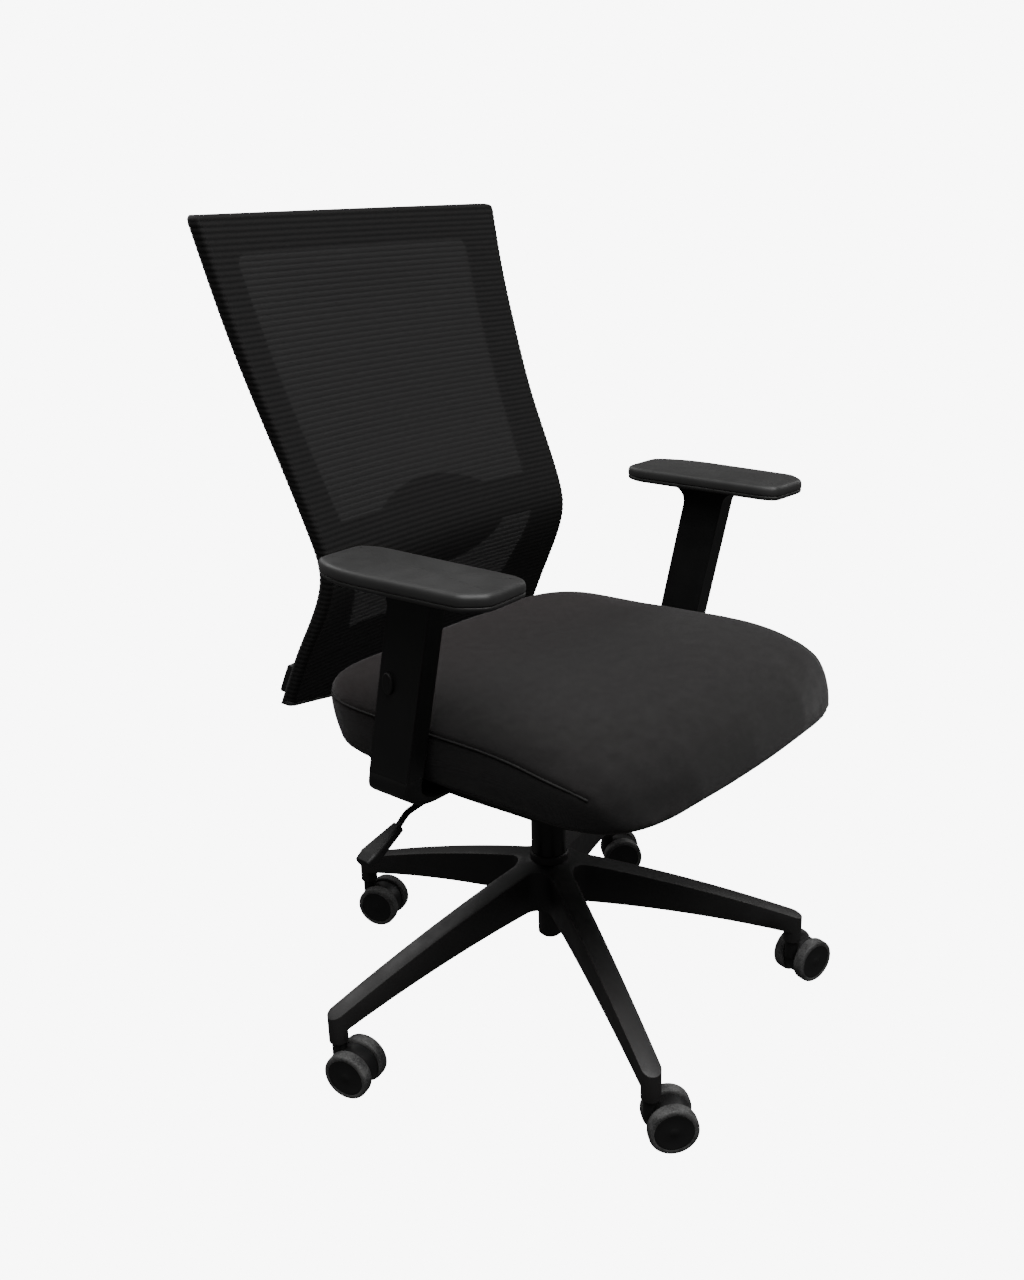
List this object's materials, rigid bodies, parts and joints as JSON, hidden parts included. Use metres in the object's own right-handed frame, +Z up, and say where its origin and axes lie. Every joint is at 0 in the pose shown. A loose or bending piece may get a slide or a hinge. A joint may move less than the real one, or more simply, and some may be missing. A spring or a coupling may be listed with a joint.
{
  "type": "swivel office chair",
  "caption": "Mesh-back swivel task chair with padded seat, height-adjustable armrests, gas lift, tilt mechanism and star base on twin-wheel casters.",
  "frame": {"origin": "on the floor, on the seat's swivel axis", "axes": "+Z up; the sitter faces -Y; +X is the sitter's left"},
  "size_m": [0.7055, 0.6795, 1.016],
  "materials": {
    "base_nylon": "fine texture",
    "lift_black": "satin",
    "chrome_tube": "polished",
    "steel": "zinc plated",
    "mechanism_paint": "satin powder coat",
    "black_plastic": "moulded",
    "back_plastic": "moulded",
    "arm_plastic": "fine texture",
    "seat_shell": "moulded",
    "seat_fabric": "fine woven",
    "back_mesh": "ribbed mesh",
    "pad_soft": "soft touch",
    "wheel_tread": "worn"
  },
  "bodies": {
    "base": {"base_star": "base_nylon", "gas_lift_tube": "lift_black", "gas_lift_bush": "black_plastic", "thrust_bearing": "steel"},
    "lift_rod": {"piston_rod": "steel", "retaining_clip": "steel"},
    "mechanism": {"pressure_tube": "chrome_tube", "mechanism_housing": "mechanism_paint", "tilt_pin": "steel", "tension_bolt": "steel", "tension_spring": "steel"},
    "tension_knob": {"tension_knob": "black_plastic"},
    "lever_bush": {"lever_bush": "black_plastic"},
    "lever": {"lever_rod": "mechanism_paint", "lever_paddle": "black_plastic"},
    "seat": {"mechanism_top_plate": "mechanism_paint", "seat_pan": "seat_shell", "seat_cushion": "seat_fabric", "seat_bolts": "steel", "back_bracket": "mechanism_paint", "back_frame": "back_plastic", "back_mesh": "back_mesh", "lumbar_support": "back_plastic", "back_lower_cover": "back_plastic", "back_bolts": "steel", "arm_bracket_left": "arm_plastic", "arm_bolts_left": "steel", "arm_bracket_right": "arm_plastic", "arm_bolts_right": "steel"},
    "armrest_left": {"arm_sleeve_left": "arm_plastic", "arm_pad_left": "pad_soft"},
    "arm_button_left": {"arm_button_left": "black_plastic"},
    "armrest_right": {"arm_sleeve_right": "arm_plastic", "arm_pad_right": "pad_soft"},
    "arm_button_right": {"arm_button_right": "black_plastic"},
    "caster_1": {"caster_1_stem": "steel", "caster_1_housing": "black_plastic", "caster_1_axle": "steel"},
    "caster_1_wheel_a": {"caster_1_wheel_a": "wheel_tread"},
    "caster_1_wheel_b": {"caster_1_wheel_b": "wheel_tread"},
    "caster_2": {"caster_2_stem": "steel", "caster_2_housing": "black_plastic", "caster_2_axle": "steel"},
    "caster_2_wheel_a": {"caster_2_wheel_a": "wheel_tread"},
    "caster_2_wheel_b": {"caster_2_wheel_b": "wheel_tread"},
    "caster_3": {"caster_3_stem": "steel", "caster_3_housing": "black_plastic", "caster_3_axle": "steel"},
    "caster_3_wheel_a": {"caster_3_wheel_a": "wheel_tread"},
    "caster_3_wheel_b": {"caster_3_wheel_b": "wheel_tread"},
    "caster_4": {"caster_4_stem": "steel", "caster_4_housing": "black_plastic", "caster_4_axle": "steel"},
    "caster_4_wheel_a": {"caster_4_wheel_a": "wheel_tread"},
    "caster_4_wheel_b": {"caster_4_wheel_b": "wheel_tread"},
    "caster_5": {"caster_5_stem": "steel", "caster_5_housing": "black_plastic", "caster_5_axle": "steel"},
    "caster_5_wheel_a": {"caster_5_wheel_a": "wheel_tread"},
    "caster_5_wheel_b": {"caster_5_wheel_b": "wheel_tread"}
  },
  "joints": [
    {"name": "seat_swivel", "type": "hinge", "parent": "base", "child": "lift_rod", "pos_m": [0, 0, 0.15], "axis": [0, 0, 1], "continuous": true},
    {"name": "seat_height", "type": "slide", "parent": "lift_rod", "child": "mechanism", "axis": [0, 0, 1], "range_m": [0, 0.085]},
    {"name": "seat_tilt", "type": "hinge", "parent": "mechanism", "child": "seat", "pos_m": [0, -0.015, 0.372], "axis": [-1, 0, 0], "range_deg": [0, 14], "stiffness_Nm_per_rad": 140, "springref_deg": -14.32},
    {"name": "tension_turn", "type": "hinge", "parent": "mechanism", "child": "tension_knob", "pos_m": [0, -0.07, 0.31], "axis": [0, 0, 1], "continuous": true},
    {"name": "tilt_lock", "type": "slide", "parent": "mechanism", "child": "lever_bush", "axis": [-1, 0, 0], "range_m": [0, 0.008]},
    {"name": "lever_lift", "type": "hinge", "parent": "lever_bush", "child": "lever", "pos_m": [-0.047, 0.02, 0.362], "axis": [0, 1, 0], "range_deg": [0, 3.5], "stiffness_Nm_per_rad": 8, "springref_deg": -4.58},
    {"name": "armrest_height_left", "type": "slide", "parent": "seat", "child": "armrest_left", "axis": [0, -0.2173, 0.9761], "range_m": [0, 0.07]},
    {"name": "arm_button_press_left", "type": "slide", "parent": "armrest_left", "child": "arm_button_left", "axis": [-1, 0, 0], "range_m": [0, 0.0015], "stiffness_N_per_m": 400, "springref_m": -0.002},
    {"name": "armrest_height_right", "type": "slide", "parent": "seat", "child": "armrest_right", "axis": [0, -0.2173, 0.9761], "range_m": [0, 0.07]},
    {"name": "arm_button_press_right", "type": "slide", "parent": "armrest_right", "child": "arm_button_right", "axis": [1, 0, 0], "range_m": [0, 0.0015], "stiffness_N_per_m": 400, "springref_m": -0.002},
    {"name": "caster_1_swivel", "type": "hinge", "parent": "base", "child": "caster_1", "pos_m": [0.30399, 0.12841, 0.06], "axis": [0, 0, 1], "continuous": true},
    {"name": "caster_1_spin_a", "type": "hinge", "parent": "caster_1", "child": "caster_1_wheel_a", "pos_m": [0.31955, 0.11285, 0.03], "axis": [0.7071, 0.7071, 0], "continuous": true},
    {"name": "caster_1_spin_b", "type": "hinge", "parent": "caster_1", "child": "caster_1_wheel_b", "pos_m": [0.31955, 0.11285, 0.03], "axis": [0.7071, 0.7071, 0], "continuous": true},
    {"name": "caster_2_swivel", "type": "hinge", "parent": "base", "child": "caster_2", "pos_m": [-0.02819, 0.32879, 0.06], "axis": [0, 0, 1], "continuous": true},
    {"name": "caster_2_spin_a", "type": "hinge", "parent": "caster_2", "child": "caster_2_wheel_a", "pos_m": [-0.02066, 0.30812, 0.03], "axis": [0.9397, 0.342, 0], "continuous": true},
    {"name": "caster_2_spin_b", "type": "hinge", "parent": "caster_2", "child": "caster_2_wheel_b", "pos_m": [-0.02066, 0.30812, 0.03], "axis": [0.9397, 0.342, 0], "continuous": true},
    {"name": "caster_3_swivel", "type": "hinge", "parent": "base", "child": "caster_3", "pos_m": [-0.32141, 0.0748, 0.06], "axis": [0, 0, 1], "continuous": true},
    {"name": "caster_3_spin_a", "type": "hinge", "parent": "caster_3", "child": "caster_3_wheel_a", "pos_m": [-0.31553, 0.05359, 0.03], "axis": [0.9636, 0.2672, 0], "continuous": true},
    {"name": "caster_3_spin_b", "type": "hinge", "parent": "caster_3", "child": "caster_3_wheel_b", "pos_m": [-0.31553, 0.05359, 0.03], "axis": [0.9636, 0.2672, 0], "continuous": true},
    {"name": "caster_4_swivel", "type": "hinge", "parent": "base", "child": "caster_4", "pos_m": [-0.17046, -0.28257, 0.06], "axis": [0, 0, 1], "continuous": true},
    {"name": "caster_4_spin_a", "type": "hinge", "parent": "caster_4", "child": "caster_4_wheel_a", "pos_m": [-0.15424, -0.29743, 0.03], "axis": [0.6756, 0.7373, 0], "continuous": true},
    {"name": "caster_4_spin_b", "type": "hinge", "parent": "caster_4", "child": "caster_4_wheel_b", "pos_m": [-0.15424, -0.29743, 0.03], "axis": [0.6756, 0.7373, 0], "continuous": true},
    {"name": "caster_5_swivel", "type": "hinge", "parent": "base", "child": "caster_5", "pos_m": [0.21606, -0.24943, 0.06], "axis": [0, 0, 1], "continuous": true},
    {"name": "caster_5_spin_a", "type": "hinge", "parent": "caster_5", "child": "caster_5_wheel_a", "pos_m": [0.23731, -0.25513, 0.03], "axis": [0.2588, 0.9659, 0], "continuous": true},
    {"name": "caster_5_spin_b", "type": "hinge", "parent": "caster_5", "child": "caster_5_wheel_b", "pos_m": [0.23731, -0.25513, 0.03], "axis": [0.2588, 0.9659, 0], "continuous": true}
  ]
}
